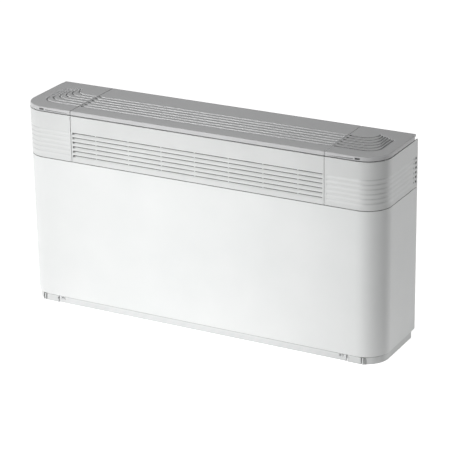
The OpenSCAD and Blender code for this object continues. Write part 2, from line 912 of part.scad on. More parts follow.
module filter_mesh() {
    half = strip_w / 2 - rail_w;
    mid = filter_z + rail_h / 2;
    color(dark)
        block([-half, filter_front + rail_w, mid - mesh_t / 2], [half, filter_rear - rail_w, mid + mesh_t / 2]);
}

// Spring plunger behind the strip, with a finger pad in the window
module filter_catch(side) {
    pad_w = 7;
    pad_inset = 1;
    pad_x = catch_x + catch_w / 2 - clear - pad_w;
    nose_end = foot_in - clear;
    color(grey)
        on_side(side) {
            block([catch_tail_x, catch_body_y, catch_z - catch_h / 2],
                [nose_end, catch_body_y + catch_body_d, catch_z]);
            block([pad_x, filter_front + pad_inset, catch_z - catch_h / 2 + clear],
                [pad_x + pad_w, catch_body_y + join, catch_z]);
        }
}

module left_filter_catch() { filter_catch(-1); }
module right_filter_catch() { filter_catch(1); }

// One quarter of a volute: centre, start angle and radius, in the Y-Z plane
function scroll_centre(q) = [(q == 0 ? -1 : 1) * scroll_step / 2, (q == 2 ? 1 : -1) * scroll_step / 2];

// Volute section cut at thickness t from the outside; the outlet rises at the rear
module volute(grow) {
    for (q = [0 : 2])
        translate(scroll_centre(q))
            intersection() {
                circle(scroll_r[q] + grow);
                rotate(90 + 90 * q)
                    square(2 * scroll_r[q]);
            }
    translate([scroll_centre(0)[0], scroll_centre(0)[1]])
        square([scroll_step, scroll_step]);
    translate([scroll_centre(0)[0] - grow, 0])
        square([scroll_step + scroll_r[2] + 2 * grow, outlet_rise]);
}

module scroll(side) {
    color(steel)
        translate([side * fan_x, fan_y, fan_z]) {
            difference() {
                along_x(-scroll_w / 2, scroll_w / 2)
                    volute(scroll_t);
                along_x(-scroll_w / 2 + scroll_t, scroll_w / 2 - scroll_t) {
                    volute(0);
                    translate([scroll_centre(0)[0], 0])
                        square([scroll_step + scroll_r[2], outlet_rise + past]);
                }
                bar_x(-scroll_w, scroll_w, 0, 0, eye_r);
            }
            for (end = [-1, 1])
                on_side(end)
                    translate([scroll_w / 2, 0, 0])
                        rotate([0, 90, 0])
                            inlet_ring();
        }
}

// Rounded inlet ring round the eye of a scroll
module inlet_ring() {
    bead_r = 4;
    rotate_extrude()
        translate([eye_r + bead_r, 0])
            difference() {
                circle(bead_r);
                translate([-bead_r - past, -bead_r - past])
                    square([2 * bead_r + 2 * past, bead_r + past]);
            }
}

module left_scroll() { scroll(-1); }
module right_scroll() { scroll(1); }

// Forward-curved wheel: blades between end rings, carried by a middle disc on a hub
module fan_wheel(side) {
    blade_mid_r = wheel_r - blade_depth / 2;
    half_angle = 48;
    ring_lip = 1;
    disc_t = 2;
    color(dark)
        translate([side * fan_x, fan_y, fan_z])
            rotate([0, 90, 0])
                translate([0, 0, -wheel_w / 2])
                    difference() {
                        union() {
                            for (i = [0 : blade_count - 1])
                                rotate(i * 360 / blade_count)
                                    translate([blade_mid_r, 0, 0])
                                        rotate(-90 - half_angle)
                                            rotate_extrude(angle = 2 * half_angle)
                                                translate([blade_r - blade_t / 2, 0])
                                                    square([blade_t, wheel_w]);
                            for (z = [0, wheel_w - ring_t])
                                translate([0, 0, z])
                                    difference() {
                                        cylinder(h = ring_t, r = wheel_r + ring_lip);
                                        translate([0, 0, -past])
                                            cylinder(h = ring_t + 2 * past, r = eye_r - ring_lip);
                                    }
                            translate([0, 0, wheel_w / 2 - disc_t / 2])
                                cylinder(h = disc_t, r = wheel_r + ring_lip);
                            translate([0, 0, wheel_w / 2 - hub_l / 2])
                                cylinder(h = hub_l, r = hub_r);
                        }
                        translate([0, 0, -past])
                            cylinder(h = wheel_w + 2 * past, r = shaft_r + run_gap);
                    }
}

module left_fan_wheel() { fan_wheel(-1); }
module right_fan_wheel() { fan_wheel(1); }

module motor() {
    rib_count = 18;
    rib_h = 2.5;
    rib_w = 3;
    rib_margin = 8;
    shaft_gap = 2;
    color(dark)
        translate([0, fan_y, fan_z])
            rotate([0, 90, 0])
                difference() {
                    union() {
                        translate([0, 0, -motor_l / 2])
                            cylinder(h = motor_l, r = motor_r - rib_h);
                        for (i = [0 : rib_count - 1])
                            rotate(i * 360 / rib_count)
                                translate([motor_r - 2 * rib_h, -rib_w / 2, -motor_l / 2 + rib_margin])
                                    cube([2 * rib_h, rib_w, motor_l - 2 * rib_margin]);
                        translate([0, 0, -motor_half])
                            cylinder(h = 2 * motor_half, r = boss_r);
                    }
                    cylinder(h = 4 * motor_half, r = shaft_r + shaft_gap, center = true);
                    for (end = [0, 1])
                        mirror([0, 0, end])
                            translate([0, 0, motor_half - bearing_l])
                                cylinder(h = bearing_l + past, r = bearing_r + run_gap);
                }
}

module motor_shaft() {
    color(steel)
        bar_x(-shaft_half, shaft_half, fan_y, fan_z, shaft_r);
}

module bearing(side) {
    color(brass)
        on_side(side)
            difference() {
                bar_x(motor_half - bearing_l, motor_half, fan_y, fan_z, bearing_r);
                bar_x(0, 2 * motor_half, fan_y, fan_z, shaft_r + run_gap);
            }
}

module left_bearing() { bearing(-1); }
module right_bearing() { bearing(1); }

module rubber_ring(side) {
    color(dark)
        on_side(side)
            difference() {
                bar_x(rubber_x - rubber_l / 2, rubber_x + rubber_l / 2, fan_y, fan_z, rubber_r);
                bar_x(0, 2 * motor_half, fan_y, fan_z, boss_r + run_gap);
            }
}

module left_rubber_ring() { rubber_ring(-1); }
module right_rubber_ring() { rubber_ring(1); }

// U bracket under the fan deck that holds the motor by its rubber rings
module motor_cradle() {
    cradle_t = 2;
    arm_half = 34;
    color(steel)
        difference() {
            union() {
                block([-rubber_x - cradle_t / 2, fan_y - arm_half, deck_z - cradle_t],
                    [rubber_x + cradle_t / 2, fan_y + arm_half, deck_z]);
                for (side = [-1, 1])
                    along_x(side * rubber_x - cradle_t / 2, side * rubber_x + cradle_t / 2)
                        translate([fan_y, fan_z]) {
                            circle(arm_half);
                            translate([-arm_half, 0])
                                square([2 * arm_half, outlet_rise]);
                        }
            }
            bar_x(-2 * motor_half, 2 * motor_half, fan_y, fan_z, rubber_r + run_gap);
        }
}

// Place of a point of the coil: h along its height, v through its thickness
function coil_place_y(h, v) = h * cos(coil_angle) - v * sin(coil_angle);
function coil_place_z(h, v) = coil_z + h * sin(coil_angle) + v * cos(coil_angle);

// Draws in coil axes: X along the tubes, Y along the height, Z through the thickness
module in_coil() {
    translate([0, 0, coil_z])
        rotate([coil_angle, 0, 0])
            children();
}

// Coil section with a hole for each tube
module fin_profile(gap) {
    difference() {
        translate([-coil_half_h, -coil_half_t])
            square([2 * coil_half_h, 2 * coil_half_t]);
        for (h = tube_h, v = tube_v)
            translate([h, v])
                circle(tube_r + gap);
    }
}

module coil_fins() {
    count = floor((2 * coil_half_l - 2 * fin_pitch) / fin_pitch);
    color(steel)
        in_coil()
            for (i = [0 : count])
                along_x((i - count / 2) * fin_pitch - fin_t / 2, (i - count / 2) * fin_pitch + fin_t / 2)
                    fin_profile(2 * run_gap);
}

// Half-round return bend between two tubes, its legs at the plane x
module return_bend(x, h, v) {
    translate([x, h, v])
        rotate([0, 0, -90])
            rotate_extrude(angle = 180)
                translate([tube_pitch / 2, 0])
                    circle(tube_r);
}

module coil_tubes() {
    color(copper)
        in_coil() {
            for (h = tube_h, v = tube_v)
                bar_x(-tube_end, tube_end, h, v, tube_r);
            for (v = tube_v) {
                for (i = [0 : 2 : tubes_high - 2])
                    return_bend(tube_end, (tube_h[i] + tube_h[i + 1]) / 2, v);
                for (i = [1 : 2 : tubes_high - 3])
                    mirror([1, 0, 0])
                        return_bend(tube_end, (tube_h[i] + tube_h[i + 1]) / 2, v);
            }
        }
}

// End plate of the coil, flanged to the side plate
module coil_plate(side) {
    trim = 40;
    color(steel)
        on_side(side)
            in_coil() {
                along_x(coil_half_l, coil_half_l + end_plate_t)
                    fin_profile(2 * run_gap);
                for (end = [0, 1])
                    mirror([0, 0, end])
                        block([coil_half_l, -coil_half_h + trim, coil_half_t - end_plate_t],
                            [plate_in, coil_half_h - trim, coil_half_t]);
            }
}

module left_coil_plate() { coil_plate(-1); }
module right_coil_plate() { coil_plate(1); }

// Header pipe across the rows, with a bent stub to a hexagonal threaded union at the rear
module header(h) {
    reach = coil_half_t - row_pitch / 2 + header_r / 2;
    y = coil_place_y(h, 0);
    z = coil_place_z(h, 0);
    color(copper)
        on_side(-1) {
            in_coil()
                translate([header_x, h, -reach])
                    cylinder(h = 2 * reach, r = header_r);
            difference() {
                union() {
                    bent_pipe(header_x, union_x, y, union_y - hex_l, z, stub_r, stub_bend);
                    translate([union_x, union_y - hex_l, z])
                        rotate([-90, 0, 0])
                            cylinder(h = hex_l, r = hex_r, $fn = 6);
                }
                translate([union_x, union_y - thread_l, z])
                    rotate([-90, 0, 0])
                        cylinder(h = thread_l + past, r = thread_r);
            }
        }
}

module inlet_header() { header(tube_h[0]); }
module outlet_header() { header(tube_h[tubes_high - 1]); }

// Manual bleed valve on the upper end of the outlet header
module air_vent() {
    seat = coil_half_t - row_pitch / 2 + header_r / 2;
    nut_h = 8;
    nut_r = 6;
    stem_h = 13;
    vent_stem_r = 4;
    wheel_h = 6;
    vent_wheel_r = 7;
    color(brass)
        in_coil()
            translate([-header_x, tube_h[tubes_high - 1], seat]) {
                cylinder(h = nut_h, r = nut_r, $fn = 6);
                cylinder(h = stem_h, r = vent_stem_r);
                translate([0, 0, stem_h])
                    cylinder(h = wheel_h, r = vent_wheel_r);
            }
}

// Trough under the coil with a taller front wall and a hose spigot on the left, bent to the rear
module drain_tray() {
    bore_r = spigot_r - spigot_wall;
    spigot_root = tray_half - tray_t;
    color(white)
        difference() {
            union() {
                block([-tray_half, tray_front, deck_top], [tray_half, tray_rear, deck_top + tray_wall_h]);
                block([-tray_half, tray_front, deck_top], [tray_half, tray_front + tray_t, deck_top + tray_front_h]);
                on_side(-1) {
                    bent_pipe(spigot_foot, union_x, spigot_y, spigot_end, spigot_z, spigot_r, spigot_bend);
                    bar_x(spigot_root, spigot_foot, spigot_y, spigot_z, spigot_r + spigot_boss);
                }
            }
            block([-tray_half + tray_t, tray_front + tray_t, deck_top + tray_t],
                [tray_half - tray_t, tray_rear - tray_t, deck_top + tray_front_h + past]);
            on_side(-1)
                bent_pipe(spigot_root - past, union_x, spigot_y, spigot_end + past, spigot_z, bore_r, spigot_bend);
        }
}

// Foam behind and above the outlet
module plenum_liner() {
    foam_t = 6;
    coil_gap = 4;
    front_gap = 30;
    low = coil_z + coil_reach + coil_gap;
    high = shelf_z;
    color(dark) {
        block([-plate_in + clear, back_y - foam_t, low], [plate_in - clear, back_y, high]);
        block([-plate_in + clear, front_y + front_gap, high - foam_t], [plate_in - clear, back_y, high]);
    }
}

module control_plate() {
    flange_h = 20;
    color(white)
        difference() {
            union() {
                block([control_x[0], control_y[0], control_z - control_t], [control_x[1], control_y[1], control_z]);
                block([control_x[0], control_y[0], control_z - flange_h],
                    [control_x[0] + control_t, control_y[1], control_z]);
            }
            for (x = knob_x)
                translate([x, knob_y, control_z - control_t - past])
                    cylinder(h = control_t + 2 * past, r = stem_r + run_gap);
        }
}

// Knob with grip flutes, a raised pointer and a stem through the control plate
module knob(x) {
    flutes = 16;
    flute_r = 1.6;
    pointer_w = 2;
    pointer_h = 1;
    pointer_inset = 3;
    color(dark)
        translate([x, knob_y, control_z]) {
            difference() {
                translate([0, 0, clear])
                    cylinder(h = knob_h - clear, r = knob_r);
                for (i = [0 : flutes - 1])
                    rotate(i * 360 / flutes)
                        translate([knob_r + flute_r / 2, 0, -past])
                            cylinder(h = knob_h + 2 * past, r = flute_r);
            }
            translate([-pointer_w / 2, 0, knob_h - join])
                cube([pointer_w, knob_r - pointer_inset, pointer_h + join]);
            translate([0, 0, -stem_l])
                cylinder(h = stem_l + 2 * clear, r = stem_r);
        }
}

module thermostat_knob() { knob(knob_x[0]); }
module speed_knob() { knob(knob_x[1]); }

// Box open to the right, on the outside of the right side plate
module terminal_box() {
    low = [plate_out, box_y, box_z];
    high = low + box_size;
    inner = [box_wall, box_wall, box_wall];
    color(white)
        difference() {
            block(low, high);
            block(low + inner, high + [past, -box_wall, -box_wall]);
            translate([plate_out + box_size[0] / 2, box_y + box_size[1] / 2, box_z - past])
                cylinder(h = box_wall + 2 * past, r = gland_r - gland_wall);
        }
}

module terminal_cover() {
    x = plate_out + box_size[0];
    lip = 8;
    inset = box_wall + clear;
    color(white) {
        block([x, box_y, box_z], [x + box_wall, box_y + box_size[1], box_z + box_size[2]]);
        difference() {
            block([x - lip, box_y + inset, box_z + inset],
                [x + join, box_y + box_size[1] - inset, box_z + box_size[2] - inset]);
            block([x - lip - past, box_y + inset + box_wall, box_z + inset + box_wall],
                [x, box_y + box_size[1] - inset - box_wall, box_z + box_size[2] - inset - box_wall]);
        }
    }
}

// Row of terminals with a screw well and a wire way each
module terminal_block() {
    ways = 6;
    x = plate_out + box_wall;
    y = box_y + (box_size[1] - block_size[1]) / 2;
    z = box_z + box_size[2] / 2;
    step = block_size[1] / ways;
    color(dark)
        difference() {
            block([x, y, z], [x + block_size[0], y + block_size[1], z + block_size[2]]);
            for (i = [0 : ways - 1])
                translate([x, y + (i + 0.5) * step, z]) {
                    bar_x(block_size[0] / 2, block_size[0] + past, 0, block_size[2] / 2, step / 4);
                    translate([block_size[0] / 2, 0, -past])
                        cylinder(h = block_size[2] / 3, r = step / 4);
                }
        }
}

// Gland in the floor of the terminal box
module cable_gland() {
    nut_h = 8;
    dome_h = 12;
    color(dark)
        translate([plate_out + box_size[0] / 2, box_y + box_size[1] / 2, box_z])
            difference() {
                union() {
                    translate([0, 0, -nut_h])
                        cylinder(h = nut_h, r = gland_r + 1.5 * gland_wall, $fn = 6);
                    translate([0, 0, -nut_h - dome_h])
                        cylinder(h = dome_h, r1 = gland_r - gland_wall, r2 = gland_r);
                    cylinder(h = gland_thread_h, r = gland_r - gland_wall - run_gap);
                }
                translate([0, 0, -nut_h - dome_h - past])
                    cylinder(h = nut_h + dome_h + gland_thread_h + 2 * past, r = gland_bore_r);
            }
}

module capacitor() {
    cap_h = 5;
    cap_inset = 4;
    color(white)
        translate([capacitor_x, capacitor_y, capacitor_z]) {
            cylinder(h = capacitor_l, r = capacitor_r);
            translate([0, 0, capacitor_l])
                cylinder(h = cap_h, r = capacitor_r - cap_inset);
        }
}

// Band round the capacitor on a plate against the side plate
module capacitor_clip() {
    band_h = 14;
    band_t = 1.5;
    wing = capacitor_r + 8;
    mid = capacitor_z + capacitor_l / 2;
    color(steel)
        difference() {
            union() {
                translate([capacitor_x, capacitor_y, mid - band_h / 2])
                    cylinder(h = band_h, r = capacitor_r + band_t);
                block([plate_out, capacitor_y - wing, mid - band_h / 2],
                    [plate_out + band_t, capacitor_y + wing, mid + band_h / 2]);
            }
            translate([capacitor_x, capacitor_y, mid - band_h])
                cylinder(h = 2 * band_h, r = capacitor_r + run_gap);
        }
}

front_panel();
left_end_cap();
right_end_cap();
outlet_grille();
top_cover();
left_flap();
right_flap();
left_hinge_bracket();
right_hinge_bracket();
left_hinge_pin();
right_hinge_pin();
back_panel();
left_rear_head();
right_rear_head();
left_rear_plate();
right_rear_plate();
left_rear_sill();
right_rear_sill();
left_rear_rail();
right_rear_rail();
left_side_plate();
right_side_plate();
fan_deck();
left_foot();
right_foot();
filter_frame();
filter_mesh();
left_filter_catch();
right_filter_catch();
left_scroll();
right_scroll();
left_fan_wheel();
right_fan_wheel();
motor();
motor_shaft();
left_bearing();
right_bearing();
left_rubber_ring();
right_rubber_ring();
motor_cradle();
coil_fins();
coil_tubes();
left_coil_plate();
right_coil_plate();
inlet_header();
outlet_header();
air_vent();
drain_tray();
plenum_liner();
control_plate();
thermostat_knob();
speed_knob();
terminal_box();
terminal_cover();
terminal_block();
cable_gland();
capacitor();
capacitor_clip();
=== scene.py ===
import json
import math
from functools import reduce

import bmesh
import bpy
from mathutils import Matrix, Vector


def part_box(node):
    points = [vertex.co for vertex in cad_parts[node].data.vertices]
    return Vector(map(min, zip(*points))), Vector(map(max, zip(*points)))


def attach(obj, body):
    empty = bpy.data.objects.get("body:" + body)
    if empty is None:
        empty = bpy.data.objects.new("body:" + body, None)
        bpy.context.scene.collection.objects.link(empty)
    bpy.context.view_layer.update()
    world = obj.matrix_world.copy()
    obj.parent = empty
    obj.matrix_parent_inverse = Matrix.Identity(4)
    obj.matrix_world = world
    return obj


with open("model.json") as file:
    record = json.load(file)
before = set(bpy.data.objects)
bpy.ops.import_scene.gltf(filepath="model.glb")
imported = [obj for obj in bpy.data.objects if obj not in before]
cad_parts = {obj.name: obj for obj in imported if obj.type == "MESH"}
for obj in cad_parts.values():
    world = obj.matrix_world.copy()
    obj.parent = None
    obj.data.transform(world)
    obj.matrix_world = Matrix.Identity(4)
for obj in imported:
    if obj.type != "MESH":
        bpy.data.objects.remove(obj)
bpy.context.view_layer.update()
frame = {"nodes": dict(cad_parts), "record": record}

MM = 0.001
NODES = frame["nodes"]
SIDES = ((-1, "left"), (1, "right"))
scene = bpy.context.scene
scene.view_settings.view_transform = "Standard"


def edges(node):
    """Lowest and highest corners of a node in millimetres."""
    low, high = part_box(node)
    return low / MM, high / MM


# Camera

FRAME_PX = 450
FOCAL_PX = 2087.9
EYE_MM = (2313.1, -4203.0, 2116.0)
TURN = Vector((1.90168, 0.46673, -0.34117))
SENSOR_MM = 36.0
NEAREST_M, FURTHEST_M = 0.1, 60.0


def add_camera():
    camera = bpy.data.cameras.new("camera")
    camera.sensor_width = SENSOR_MM
    camera.lens = FOCAL_PX * SENSOR_MM / FRAME_PX
    camera.clip_start = NEAREST_M
    camera.clip_end = FURTHEST_M
    right, down, ahead = Matrix.Rotation(TURN.length, 3, TURN)
    facing = Matrix((right, -down, -ahead)).transposed()
    holder = bpy.data.objects.new("camera", camera)
    holder.matrix_world = Matrix.Translation(Vector(EYE_MM) * MM) @ facing.to_4x4()
    scene.collection.objects.link(holder)
    scene.camera = holder


# Shader trees

NOISE_LOW, NOISE_HIGH = 0.3, 0.7


class Tree:
    """Node tree of a material or a world, with a short way to make each kind of node."""

    def __init__(self, owner):
        owner.use_nodes = True
        self.nodes = owner.node_tree.nodes
        self.links = owner.node_tree.links

    def feed(self, socket, value):
        """Links another node's output to a socket, or sets the socket to a plain value."""
        if isinstance(value, bpy.types.NodeSocket):
            self.links.new(value, socket)
        else:
            socket.default_value = value

    def node(self, kind, inputs, **settings):
        made = self.nodes.new("ShaderNode" + kind)
        for key, value in settings.items():
            setattr(made, key, value)
        for socket, value in inputs.items():
            self.feed(made.inputs[socket], value)
        return made

    def maths(self, operation, *values):
        return self.node("Math", dict(enumerate(values)), operation=operation).outputs[0]

    def product(self, *values):
        return reduce(lambda first, second: self.maths("MULTIPLY", first, second), values)

    def total(self, *values):
        return reduce(lambda first, second: self.maths("ADD", first, second), values)

    def largest(self, *values):
        return reduce(lambda first, second: self.maths("MAXIMUM", first, second), values)

    def less(self, value, taken):
        return self.maths("SUBTRACT", value, taken)

    def above(self, value, limit):
        return self.maths("GREATER_THAN", value, limit)

    def below(self, value, limit):
        return self.maths("LESS_THAN", value, limit)

    def near(self, value, target, slack):
        return self.maths("COMPARE", value, target, slack)

    def within(self, value, low, high):
        """1 between two limits, else 0."""
        return self.product(self.above(value, low), self.below(value, high))

    def ramp(self, value, start, end, first, last):
        """Runs from first to last while the value goes from start to end, and stays level outside."""
        inputs = {"Value": value, "From Min": start, "From Max": end, "To Min": first, "To Max": last}
        return self.node("MapRange", inputs).outputs["Result"]

    def spread(self, value, low, high):
        """Maps a noise value, which mostly lies between its two limits, to low and high."""
        return self.ramp(value, NOISE_LOW, NOISE_HIGH, low, high)

    def coords(self, output):
        return self.node("TexCoord", {}).outputs[output]

    def place(self, stretch):
        """Object coordinates in metres, stretched along the axes."""
        return self.node("Mapping", {"Vector": self.coords("Object"), "Scale": stretch}).outputs["Vector"]

    def place_mm(self):
        """X, Y and Z in the object's own frame, in millimetres."""
        scaled = self.node("VectorMath", {0: self.coords("Object"), "Scale": 1 / MM}, operation="SCALE")
        return self.node("SeparateXYZ", {0: scaled.outputs[0]}).outputs

    def facing(self):
        """X, Y and Z of the surface's normal in the object's own frame."""
        return self.node("SeparateXYZ", {0: self.coords("Normal")}).outputs

    def noise(self, where, scale, detail):
        return self.node("TexNoise", {"Vector": where, "Scale": scale, "Detail": detail}).outputs["Fac"]

    def cells(self, where, scale, output):
        return self.node("TexVoronoi", {"Vector": where, "Scale": scale}).outputs[output]

    def blend(self, value, first, second):
        inputs = {"Factor": value, "A": (*first, 1.0), "B": (*second, 1.0)}
        return self.node("Mix", inputs, data_type="RGBA").outputs["Result"]

    def relief(self, bsdf, height, depth_mm):
        bump = self.node("Bump", {"Height": height, "Strength": 1.0, "Distance": depth_mm * MM})
        self.feed(bsdf.inputs["Normal"], bump.outputs["Normal"])


# Stage

WHITE = (1.0, 1.0, 1.0, 1.0)
PAPER = (0.92, 0.92, 0.92, 1.0)
SKY_LIGHT = 0.08
FLOOR_GLOW = 0.92
FLOOR_HALF_M = 9.0


def seen_directly(tree):
    """1 for camera, mirror and glass rays, and 0 for light that falls on the object."""
    path = tree.node("LightPath", {}).outputs
    return tree.largest(path["Is Camera Ray"], path["Is Glossy Ray"], path["Is Transmission Ray"])


def add_world():
    world = bpy.data.worlds.new("studio")
    tree = Tree(world)
    tree.nodes.clear()
    light = tree.node("Background", {"Color": WHITE, "Strength": SKY_LIGHT})
    plain = tree.node("Background", {"Color": WHITE, "Strength": 1.0})
    mix = tree.node("MixShader", {"Fac": seen_directly(tree), 1: light.outputs[0], 2: plain.outputs[0]})
    tree.node("OutputWorld", {"Surface": mix.outputs[0]})
    scene.world = world


def add_floor():
    mesh = bpy.data.meshes.new("floor")
    corners = [(x * FLOOR_HALF_M, y * FLOOR_HALF_M, 0) for x, y in ((-1, -1), (1, -1), (1, 1), (-1, 1))]
    mesh.from_pydata(corners, [], [(0, 1, 2, 3)])
    floor = bpy.data.objects.new("floor", mesh)
    scene.collection.objects.link(floor)
    mat = bpy.data.materials.new("floor_paper")
    tree = Tree(mat)
    tree.nodes.clear()
    paper = tree.node("BsdfDiffuse", {"Color": PAPER})
    glow = tree.node("Emission", {"Strength": tree.product(seen_directly(tree), FLOOR_GLOW)})
    lit = tree.node("AddShader", {0: paper.outputs[0], 1: glow.outputs[0]})
    tree.node("OutputMaterial", {"Surface": lit.outputs[0]})
    mesh.materials.append(mat)


KEY_AT, KEY_AIM = (-1.2, -4.1, 1.8), (-0.09, 0.0, 0.25)
RIGHT_AT, LEFT_AT, FILL_AIM = (2.6, 2.2, 0.7), (-2.6, 0.6, 0.9), (0.0, 0.0, 0.3)
KEY_SPREAD = math.radians(36)
FILL_ANGLE = math.radians(30)


def add_lamp(name, kind, at, aim, **settings):
    lamp = bpy.data.lights.new(name, kind)
    for key, value in settings.items():
        setattr(lamp, key, value)
    holder = bpy.data.objects.new(name, lamp)
    holder.location = at
    holder.rotation_euler = (Vector(aim) - Vector(at)).to_track_quat("-Z", "Y").to_euler()
    scene.collection.objects.link(holder)


def add_lamps():
    add_lamp("key", "AREA", KEY_AT, KEY_AIM, energy=8.25, size=1.1, spread=KEY_SPREAD)
    add_lamp("right_fill", "SUN", RIGHT_AT, FILL_AIM, energy=1.32, angle=FILL_ANGLE)
    add_lamp("left_fill", "SUN", LEFT_AT, FILL_AIM, energy=0.8, angle=FILL_ANGLE)


# Painted shade and light in joints, slots and grooves: each function gives a factor for the colour, fixed to
# the object

LID_LOW, LID_HIGH = edges("top_cover")
LID_TOP = LID_HIGH.z
LID_END = LID_HIGH.x
FLAP_START = edges("right_flap")[0].x
GRILLE_LOW = edges("outlet_grille")[0]
FRONT = GRILLE_LOW.y
SQUARE_ON = 0.98
TILT_SLACK = 0.1
EDGE_FADE_START, EDGE_FADE_END = 0.4, 0.1


def edge_fade(node, share):
    """Painted shade that falls to a share of the colour just under the top edge of a node, so the joint
    above that edge reads dark.
    """
    top = edges(node)[1].z
    start, end = top - EDGE_FADE_START, top - EDGE_FADE_END
    return lambda tree: tree.ramp(tree.place_mm()["Z"], start, end, 1.0, share)


# Grooves and joints of the lids: places in millimetres, turns as parts of the normal, shares of the colour
# for painted shade and light

GROOVE_RIM = 3.0
GROOVE_WALL_TILT = 0.38
GROOVE_FIELD_X = 470.0
GROOVE_FIELD_Y = (-64.0, 90.0)
GROOVE_FIELD_DEPTH = (0.05, 7.0)
WALL_TURN = (0.3, 0.8)
LID_WALL_START = 50.0
LID_WALL_DARK, FLAP_WALL_DARK = 0.2, 0.76
SIDE_WALL_TURN, SIDE_WALL_SHARE = (0.2, 0.85), 0.42
WALL_TOP_DEPTH, WALL_TOP_SHARE = (0.1, 0.8), 0.65
WALL_LIGHT = 0.6
END_SHADE_L, END_FADE_L, END_DARK = 3.75, 5.0, 0.95
TAIL_TURN, TAIL_DARK = -0.8, 0.2
JOINT_SLACK = 0.75
FLAP_SLACK = 0.25
LEFT_JOINT_PAINTED_SHADE, RIGHT_JOINT_PAINTED_LIGHT = -0.9, 0.6

# Catch windows: from the inner end of a flap, from the foot of its lip, and behind the lip's face, with the
# share of painted shade in them

CATCH_START, CATCH_END = 76.1, 88.9
CATCH_FOOT, CATCH_TOP = 2.3, 6.5
CATCH_DEPTH = (0.7, 3.9)
CATCH_SLACK = 0.25
CATCH_PAINTED_SHADE = -0.8


def groove_wall_shade(tree, at, normal):
    """Painted shade that the sloping groove walls lose on the right, and painted light that they gain on the
    left, as shares of the colour.
    """
    wall = tree.near(normal["Z"], GROOVE_WALL_TILT, TILT_SLACK)
    on_lid = tree.ramp(at["X"], LID_WALL_START, LID_END, 0.0, LID_WALL_DARK)
    on_flap = tree.product(tree.above(at["X"], FLAP_START - FLAP_SLACK), FLAP_WALL_DARK)
    forward = tree.less(normal["X"], normal["Y"])
    top_start, top_end = (LID_TOP - depth for depth in WALL_TOP_DEPTH)
    dark = tree.product(wall, tree.largest(on_lid, on_flap), tree.ramp(forward, *WALL_TURN, 0.0, 1.0),
                        tree.ramp(normal["X"], *SIDE_WALL_TURN, 1.0, SIDE_WALL_SHARE),
                        tree.ramp(at["Z"], top_start, top_end, WALL_TOP_SHARE, 1.0))
    light = tree.product(wall, tree.ramp(normal["X"], *WALL_TURN, 0.0, WALL_LIGHT),
                         tree.below(at["X"], 0.0))
    return dark, light


def groove_end_shade(tree, at, piece_start):
    """Painted shade at the left ends of the grooves of the lid or flap that starts at the given place."""
    start = piece_start + GROOVE_RIM + END_SHADE_L
    return tree.product(tree.ramp(at["X"], start, start + END_FADE_L, END_DARK, 0.0),
                        tree.above(at["X"], piece_start - JOINT_SLACK))


def joint_face(tree, at, normal, place):
    """1 on the end of a lid or flap that faces right at the given place, else 0."""
    return tree.product(tree.above(normal["X"], SQUARE_ON),
                        tree.within(at["X"], place - JOINT_SLACK, place + JOINT_SLACK))


def catch_window(tree, at, out):
    """1 in the catch windows of the flaps, else 0."""
    x, y, z = FLAP_START, LID_LOW.y, LID_LOW.z
    return tree.product(tree.within(out, x + CATCH_START - CATCH_SLACK, x + CATCH_END + CATCH_SLACK),
                        tree.within(at["Z"], z + CATCH_FOOT - CATCH_SLACK, z + CATCH_TOP + CATCH_SLACK),
                        tree.within(at["Y"], y + CATCH_DEPTH[0], y + CATCH_DEPTH[1]))


def groove_shade(tree):
    """Painted shade and light on the lids: their grooves, the joints between them and the catch windows."""
    at, normal = tree.place_mm(), tree.facing()
    out = tree.maths("ABSOLUTE", at["X"])
    shallow, deep = GROOVE_FIELD_DEPTH
    field = tree.product(tree.within(at["Y"], *GROOVE_FIELD_Y),
                         tree.within(at["Z"], LID_TOP - deep, LID_TOP - shallow),
                         tree.below(out, GROOVE_FIELD_X))
    dark_wall, light_wall = groove_wall_shade(tree, at, normal)
    # Painted shade on the front-facing tail ends of the left flap's grooves
    tail_end = tree.product(tree.below(at["X"], FLAP_SLACK - FLAP_START),
                            tree.near(normal["Z"], 0.0, TILT_SLACK),
                            tree.below(normal["Y"], TAIL_TURN), TAIL_DARK)
    dark = tree.largest(dark_wall, groove_end_shade(tree, at, -LID_END),
                        groove_end_shade(tree, at, FLAP_START), tail_end)
    # The groove field takes its painted shade and light; the left joint is painted darker, the right joint
    # painted lighter, and the catch windows painted dark as shade
    return tree.total(1.0, tree.product(field, tree.less(light_wall, dark)),
                      tree.product(joint_face(tree, at, normal, -FLAP_START), LEFT_JOINT_PAINTED_SHADE),
                      tree.product(joint_face(tree, at, normal, LID_END), RIGHT_JOINT_PAINTED_LIGHT),
                      tree.product(catch_window(tree, at, out), CATCH_PAINTED_SHADE))


# Slots of the grille: depths behind its face, and margins from its ends

RIB_INSET, RIB_SLACK = 3.4, 0.1
SLOT_FADE, SLOT_SHARE = (2.4, 4.0), 0.12
SLOT_FACE = 0.4
SLOT_MARGIN, SLOT_END_L, SLOT_END_DARK = 3.65, 8.0, 0.75
GRILLE_SIDE = 1.75


def slot_shade(tree):
    """Painted shade deep in the grille's slots and at their left ends, with the ribs' front edges left pale.
    """
    at, normal = tree.place_mm(), tree.facing()
    rib = tree.product(tree.below(normal["Y"], -SQUARE_ON),
                       tree.within(at["Y"], FRONT + RIB_INSET - RIB_SLACK, FRONT + RIB_INSET + RIB_SLACK))
    side = tree.above(at["X"], LID_END - GRILLE_SIDE)
    inside = tree.ramp(at["Y"], FRONT + SLOT_FADE[0], FRONT + SLOT_FADE[1], 1.0, SLOT_SHARE)
    start = SLOT_MARGIN - LID_END
    left_end = tree.product(tree.above(at["Y"], FRONT + SLOT_FACE),
                            tree.ramp(at["X"], start, start + SLOT_END_L, SLOT_END_DARK, 0.0))
    return tree.product(tree.largest(inside, rib, side), tree.less(1.0, left_end))


# Mock louvres of the end caps: the first ledge's height above the foot, and turns as parts of the normal

